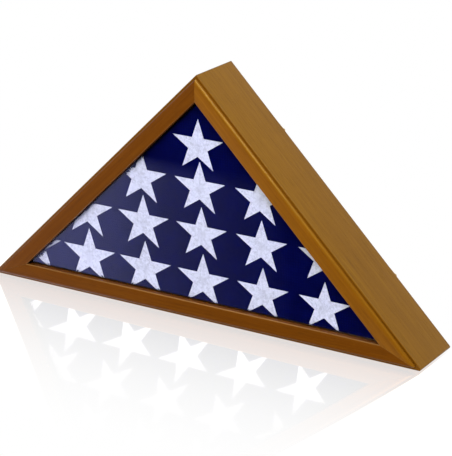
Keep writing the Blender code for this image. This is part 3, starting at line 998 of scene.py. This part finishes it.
class FlagCaseFlag(bpy.types.PropertyGroup):
    navy: shade("Navy", "Colour of the flag's field", (0.0013, 0.0022, 0.041))
    star_white: shade("Star white", "Colour of the stars' thread", (0.75, 0.75, 0.825))
    thread_pitch: length("Weave pitch", "From one thread of the cotton to the next", 0.55 * MM)
    weave_slant: number("Weave slant", "Turn of the weave on the front, in degrees", 2.5)
    stitch_pitch: length("Stitch pitch", "From one thread of a star to the next", 0.7 * MM)
    flag_slack: length("Slack", "How much smaller the flag is before it swells", 1.0 * MM)
    flag_grain: length("Grain", "Size of the mesh the flag swells on", 4 * MM)
    flag_pressure: number("Pressure", "Pressure that swells the flag", 4.0)
    flag_steps: bpy.props.IntProperty(
        name="Steps", description="Frames that the flag swells for", default=20)
    flag_cap: length("Cap", "The furthest that any point of the flag moves", 2.5 * MM)
    flag_edge: length("Flag edge", "Inset of the folded edges", 16 * MM)
    press_edge: length("Pressed face", "Inset to which the glass side lies flat", 24.2 * MM)
    press_depth: length("Pressed depth", "Depth from the flag's front within which it is pressed flat",
                        12.1 * MM)
    press_round: length("Pressed round", "Radius of the fold round the pressed face", 2.5 * MM)
    layer_pitch: length("Layers", "Depth of one folded layer", 8.8 * MM)
    layer_groove: length("Layer groove", "Depth of the groove between layers", 2.2 * MM)
    face_ripple: length("Face ripple", "Unevenness of the flat faces", 0.5 * MM)
    tuck_place: number("Tuck place", "Where the tucked end's edge meets the base", 0.38)
    tuck_angle: degrees("Tuck angle", "Slope of the tucked end's edge", 45)
    tuck_step: length("Tuck step", "Thickness of the top fold at the tuck", 1.8 * MM)
    star_radius: length("Star radius", "From a star's middle to its tips", 38 * MM)
    star_spread: number("Star spread", "Stretch of a star across", 1.045)
    star_squat: number("Star squat", "Stretch of a star upwards", 0.96)
    star_border: length("Star border", "Width of the stitched rim of a star", 1.6 * MM)
    star_height: length("Star height", "How far the stitching stands off the cloth", 0.45 * MM)
    star_cuts: bpy.props.IntProperty(
        name="Star cuts", description="Cuts in each facet of a star", default=5)
    star_rows: bpy.props.FloatVectorProperty(
        name="Rows", description="Heights of the rows of stars", size=4, subtype="NONE", unit="LENGTH",
        default=(51 * MM, 113 * MM, 172.6 * MM, 227.4 * MM))
    star_middle: length("Middle column", "Place of the middle column in the lowest row", 8 * MM)
    star_step: length("Column step", "From one column to the next", 87 * MM)
    star_lean: length("Column lean", "How far each row is shifted to the left", 2.8 * MM)
    star_taper: bpy.props.FloatVectorProperty(
        name="Star taper", description="Loss of size across and upwards, for each metre", size=2,
        default=(0.33, 0.22))
    star_reach: length("Star reach", "Smallest inset of a star's middle", 6 * MM)
    flag_trim: length("Star trim", "Inset at which the stars are folded away", 24.4 * MM)


class FlagCaseFittings(bpy.types.PropertyGroup):
    glass_ior: number("Glass index", "Refractive index of the pane", 1.5)
    panel_colour: shade("Back board", "Colour of the hardboard", (0.17, 0.095, 0.05))
    lining_colour: shade("Lining", "Colour of the felt", (0.013, 0.013, 0.014))
    panel_corner: length("Panel corner", "Radius of the back board's corners", 0.8 * MM)
    panel_ease: length("Panel edge", "Round on the back board's edges", 0.45 * MM)
    tongue_width: length("Eye width", "Width of a turn button round its screw", 7.2 * MM)
    tongue_tip: length("Tip width", "Width of a turn button at its tip", 5.2 * MM)
    tongue_reach: length("Reach", "From a turn button's screw to the middle of its tip", 22 * MM)
    tongue_rim: length("Rim", "Flat rim round a turn button's raised middle", 0.6 * MM)
    tongue_rib: length("Rib", "Height of a turn button's raised middle", 0.4 * MM)
    bore: length("Bore", "Radius of the holes for the screws", 1.6 * MM)
    washer_radius: length("Washer", "Radius of the washers", 3.2 * MM)
    head_radius: length("Screw head", "Radius of the screws' heads", 2.9 * MM)
    shank_radius: length("Shank", "Radius of the screws' shanks", 1.3 * MM)
    slot_width: length("Slot width", "Width of the screws' slots", 0.7 * MM)
    slot_depth: length("Slot depth", "Depth of the screws' slots", 0.8 * MM)
    slot_turn: degrees("Slot turn", "Angle between a slot and its turn button", 25)


class FlagCaseStage(bpy.types.PropertyGroup):
    azimuth: degrees("Azimuth", "Camera's angle round the case from its front", 30.91)
    elevation: degrees("Elevation", "Camera's angle above the floor", 19.29)
    roll: degrees("Roll", "Camera's turn about its own axis", 0.466)
    distance: length("Distance", "From the camera to the point it looks at", 2.405)
    lens: number("Lens", "Focal length in millimetres on a 36 mm sensor", 153.6)
    aim: bpy.props.FloatVectorProperty(
        name="Aim", description="Point on the front plane that the camera looks at", size=3,
        subtype="TRANSLATION", unit="LENGTH", default=(0.0469, FRONT_Y, 0.1325))
    floor_gloss: number("Floor gloss", "Roughness of the floor's polish", 0.04)
    polish: number("Polish", "Strength of the floor's reflection at the case", 0.31)
    polish_reach: length("Polish reach", "How far before the case the reflection fades out", 0.37)
    polish_colour: triple("Polish colour", "Tint of the floor's reflection; above 1 it is lifted",
                          (2.2, 2.0, 1.7))
    card_colour: triple("Card colour", "Colour of the pale card that the glass reflects",
                        (0.78, 0.80, 1.45))
    polish_lean: triple("Polish lean", "Direction that the floor's reflection is square to",
                        (0.18, 0.10, 1.0))
    fill_power: number("Fill", "Power of the soft lamp before the case, in watts", 29.0)
    edge_power: number("Edge light", "Power of the lamp mirrored by the apex's edge, in watts", 17.0)
    near_side: number("Near side", "Brightness of the near side of the room in reflections", 0.5)
    daylight: number("Surroundings", "Brightness of the surroundings at the horizon", 0.85)
    skylight: number("Overhead", "Brightness of the surroundings overhead", 1.35)


class FLAGCASE_OT_stage(bpy.types.Operator):
    """Add the floor, the surroundings, the lamps and the camera"""
    bl_idname = "flagcase.stage"
    bl_label = "Stage"

    def execute(self, context):
        settings = context.scene.flag_case_stage
        make_floor(settings)
        make_surroundings(context.scene, settings)
        make_lamps(settings)
        make_camera(context.scene, settings)
        return {"FINISHED"}


class FLAGCASE_OT_box(bpy.types.Operator):
    """Model the three boards of the box"""
    bl_idname = "flagcase.box"
    bl_label = "Box Boards"

    def execute(self, context):
        settings = context.scene.flag_case_wood
        nodes = {"bottom": "base_board", "right": "right_side_board", "left": "left_side_board"}
        for seed, (side, node) in enumerate(nodes.items(), start=1):
            material = wood_material(f"{side}_board_wood", side, seed, settings, settings.board_tint)
            make_board(side, node, settings, material)
        return {"FINISHED"}


class FLAGCASE_OT_face_frame(bpy.types.Operator):
    """Model the three mitred rails round the glass"""
    bl_idname = "flagcase.face_frame"
    bl_label = "Face Frame"

    def execute(self, context):
        settings = context.scene.flag_case_wood
        for seed, side in enumerate(SIDES, start=5):
            tint = settings.clear_tint if side == "right" else settings.deep_tint
            make_rail(side, settings, wood_material(f"{side}_rail_wood", side, seed, settings, tint))
        return {"FINISHED"}


class FLAGCASE_OT_glazing(bpy.types.Operator):
    """Finish the glass, the beads that hold it and the tongues in the mitres"""
    bl_idname = "flagcase.glazing"
    bl_label = "Glazing and Tongues"

    def execute(self, context):
        fittings = context.scene.flag_case_fittings
        wood = context.scene.flag_case_wood
        dress("glass_pane", glass_material(fittings))
        for seed, side in enumerate(SIDES, start=9):
            material = wood_material(f"{side}_bead_wood", side, seed, wood, wood.deep_tint)
            dress(f"{side}_glazing_bead", material)
        ply = plywood_material()
        for name in CORNER_SIDES:
            dress(f"{name}_mitre_spline", ply)
        return {"FINISHED"}


class FLAGCASE_OT_back(bpy.types.Operator):
    """Model the lift-out back board and its felt lining"""
    bl_idname = "flagcase.back"
    bl_label = "Back Board"

    def execute(self, context):
        settings = context.scene.flag_case_fittings
        make_lining(settings, make_back_board(settings))
        return {"FINISHED"}


class FLAGCASE_OT_flag(bpy.types.Operator):
    """Swell and fold the flag, and lay its stars"""
    bl_idname = "flagcase.flag"
    bl_label = "Flag and Stars"

    def execute(self, context):
        settings = context.scene.flag_case_flag
        make_stars(settings, make_flag(settings))
        return {"FINISHED"}


class FLAGCASE_OT_turn_buttons(bpy.types.Operator):
    """Model the six turn buttons with their washers and screws"""
    bl_idname = "flagcase.turn_buttons"
    bl_label = "Turn Buttons"

    def execute(self, context):
        settings = context.scene.flag_case_fittings
        brass = brass_material()
        place_copies(tongue_blank(settings), "turn_plate", "turn_button", brass, True)
        place_copies(washer_blank(settings), "plate_washer", "button_washer", brass, False)
        place_copies(screw_blank(settings), "plate_screw", "button_screw", brass, False)
        return {"FINISHED"}


# Stage

def make_floor(settings):
    floor = add_primitive("plane", size=12, location=(0, 0, 0))
    floor.name = "floor"
    floor.data.materials.append(floor_material(settings))


def floor_material(settings):
    """A white table with a faint polish before the case, and a card's glow for the glass to catch."""
    nodes = Nodes("white_table")
    place = nodes.add("ShaderNodeSeparateXYZ", {"Vector": nodes.place()})
    x, y = place.outputs["X"], place.outputs["Y"]
    path = nodes.add("ShaderNodeLightPath")
    white = nodes.add("ShaderNodeEmission")
    lean = nodes.add("ShaderNodeNormal", {"Normal": nodes.place()})
    lean.outputs["Normal"].default_value = Vector(settings.polish_lean).normalized()
    polish = nodes.add("ShaderNodeBsdfGlossy", {"Color": (*settings.polish_colour, 1),
                                                "Roughness": settings.floor_gloss,
                                                "Normal": lean.outputs["Normal"]})
    fade = nodes.math("POWER", nodes.span(y, FRONT_Y - settings.polish_reach, FRONT_Y), 2.2)
    before = nodes.span(y, 0.04, -0.02)
    share = nodes.times(nodes.times(fade, before), settings.polish)
    seen = nodes.mix_shaders(share, white, polish)
    across = nodes.math("SUBTRACT", x, nodes.times(nodes.math("SUBTRACT", y, FRONT_Y), 0.6))
    card_stops = ((0.16, 0.78), (0.34, 0.58), (0.45, 0.40), (0.52, 0.26), (0.66, 0.165), (0.79, 0.09),
             (0.92, 0.045), (1.0, 0.0))
    glow = nodes.ramp(nodes.span(across, -0.30, 0.14), [(at, (level,) * 3) for at, level in card_stops])
    reach = nodes.span(y, -0.59, -0.51)
    beside = nodes.span(y, FRONT_Y - 0.045, FRONT_Y - 0.02, 0.0, 0.9)
    tinted = nodes.mix(1.0, glow, settings.card_colour, "MULTIPLY")
    card = nodes.add("ShaderNodeEmission", {"Color": tinted, "Strength": reach})
    strip = nodes.add("ShaderNodeEmission", {"Strength": beside})
    card = nodes.add("ShaderNodeAddShader", {0: card.outputs[0], 1: strip.outputs[0]})
    table = nodes.add("ShaderNodeBsdfDiffuse", {"Color": (0.82, 0.82, 0.82, 1)})
    unseen = nodes.mix_shaders(path.outputs["Is Glossy Ray"], table, card)
    both = nodes.mix_shaders(path.outputs["Is Camera Ray"], unseen, seen)
    nodes.put(nodes.output.inputs["Surface"], both.outputs[0])
    return nodes.material


def make_surroundings(scene, settings):
    """White all round: brighter overhead as light, and dim on the near side in reflections."""
    world = bpy.data.worlds.new("studio")
    nodes = Nodes("studio", world)
    towards = nodes.add("ShaderNodeTexCoord").outputs["Generated"]
    parts = nodes.add("ShaderNodeSeparateXYZ", {"Vector": towards})
    light = nodes.span(parts.outputs["Z"], 0.0, 1.0, settings.daylight, settings.skylight)
    mirrored = nodes.span(parts.outputs["Y"], -0.1, 0.15, settings.near_side, 1.0)
    path = nodes.add("ShaderNodeLightPath")
    unseen = nodes.add("ShaderNodeMix", {"Factor": path.outputs["Is Glossy Ray"], "A": light,
                                         "B": mirrored})
    strength = nodes.add("ShaderNodeMix", {"Factor": path.outputs["Is Camera Ray"],
                                           "A": unseen.outputs["Result"], "B": 1.0})
    background = nodes.tree.nodes["Background"]
    nodes.put(background.inputs["Strength"], strength.outputs["Result"])
    background.inputs["Color"].default_value = (1.0, 1.0, 1.0, 1.0)
    scene.world = world
    scene.view_settings.view_transform = "Standard"
    scene.view_settings.look = "None"


def make_lamps(settings):
    """A soft lamp before the case, and one that the apex's round edge mirrors to the camera."""
    add_lamp("fill", (0.10, -1.8, 1.5), (0, 0, 0.15), (0, 0, 1), (1.2, 1.2), settings.fill_power)
    apex = corner("apex", 0)
    edge = add_lamp("edge_light", apex + Vector((0.47, -0.86, 1.25)), apex, (0.40, 0.81, 0.40),
                    (0.7, 0.5), settings.edge_power)
    edge.data.color = (1.0, 1.05, 1.9)
    edge.visible_diffuse = False


def add_lamp(name, place, target, along, sizes, power):
    """A rectangular lamp that faces a target, its long side lying along a direction."""
    lamp = bpy.data.lights.new(name, "AREA")
    lamp.shape = "RECTANGLE"
    lamp.size, lamp.size_y = sizes
    lamp.energy = power
    holder = bpy.data.objects.new(name, lamp)
    away = (Vector(place) - Vector(target)).normalized()
    across = Vector(along).cross(away).normalized()
    axes = Matrix((across, away.cross(across), away)).transposed()
    holder.matrix_world = Matrix.Translation(place) @ axes.to_4x4()
    holder.visible_transmission = False
    bpy.context.scene.collection.objects.link(holder)
    return holder


def make_camera(scene, settings):
    az, el = settings.azimuth, settings.elevation
    ahead = Vector((-math.sin(az) * math.cos(el), math.cos(az) * math.cos(el), -math.sin(el)))
    lens = bpy.data.cameras.new("camera")
    lens.lens = settings.lens
    lens.sensor_width = 36
    lens.clip_end = 50
    camera = bpy.data.objects.new("camera", lens)
    facing = ahead.to_track_quat("-Z", "Y").to_matrix().to_4x4()
    place = Matrix.Translation(Vector(settings.aim) - settings.distance * ahead)
    camera.matrix_world = place @ facing @ Matrix.Rotation(settings.roll, 4, "Z")
    scene.collection.objects.link(camera)
    scene.camera = camera


# Panel and registration

class FLAGCASE_PT_panel(bpy.types.Panel):
    bl_label = "Flag Case"
    bl_space_type = "VIEW_3D"
    bl_region_type = "UI"
    bl_category = "Flag Case"

    def draw(self, context):
        for operator in OPERATORS:
            self.layout.operator(operator.bl_idname)


OPERATORS = (FLAGCASE_OT_stage, FLAGCASE_OT_box, FLAGCASE_OT_face_frame, FLAGCASE_OT_glazing,
             FLAGCASE_OT_back, FLAGCASE_OT_flag, FLAGCASE_OT_turn_buttons)
GROUPS = {"flag_case_wood": FlagCaseWood, "flag_case_flag": FlagCaseFlag,
          "flag_case_fittings": FlagCaseFittings, "flag_case_stage": FlagCaseStage}
CLASSES = (*GROUPS.values(), *OPERATORS, FLAGCASE_PT_panel)


def register():
    for cls in CLASSES:
        bpy.utils.register_class(cls)
    for name, group in GROUPS.items():
        setattr(bpy.types.Scene, name, bpy.props.PointerProperty(type=group))


def unregister():
    for name in GROUPS:
        delattr(bpy.types.Scene, name)
    for cls in reversed(CLASSES):
        bpy.utils.unregister_class(cls)


def main():
    register()
    for operator in OPERATORS:
        group, name = operator.bl_idname.split(".")
        getattr(getattr(bpy.ops, group), name)()


if __name__ == "__main__":
    main()
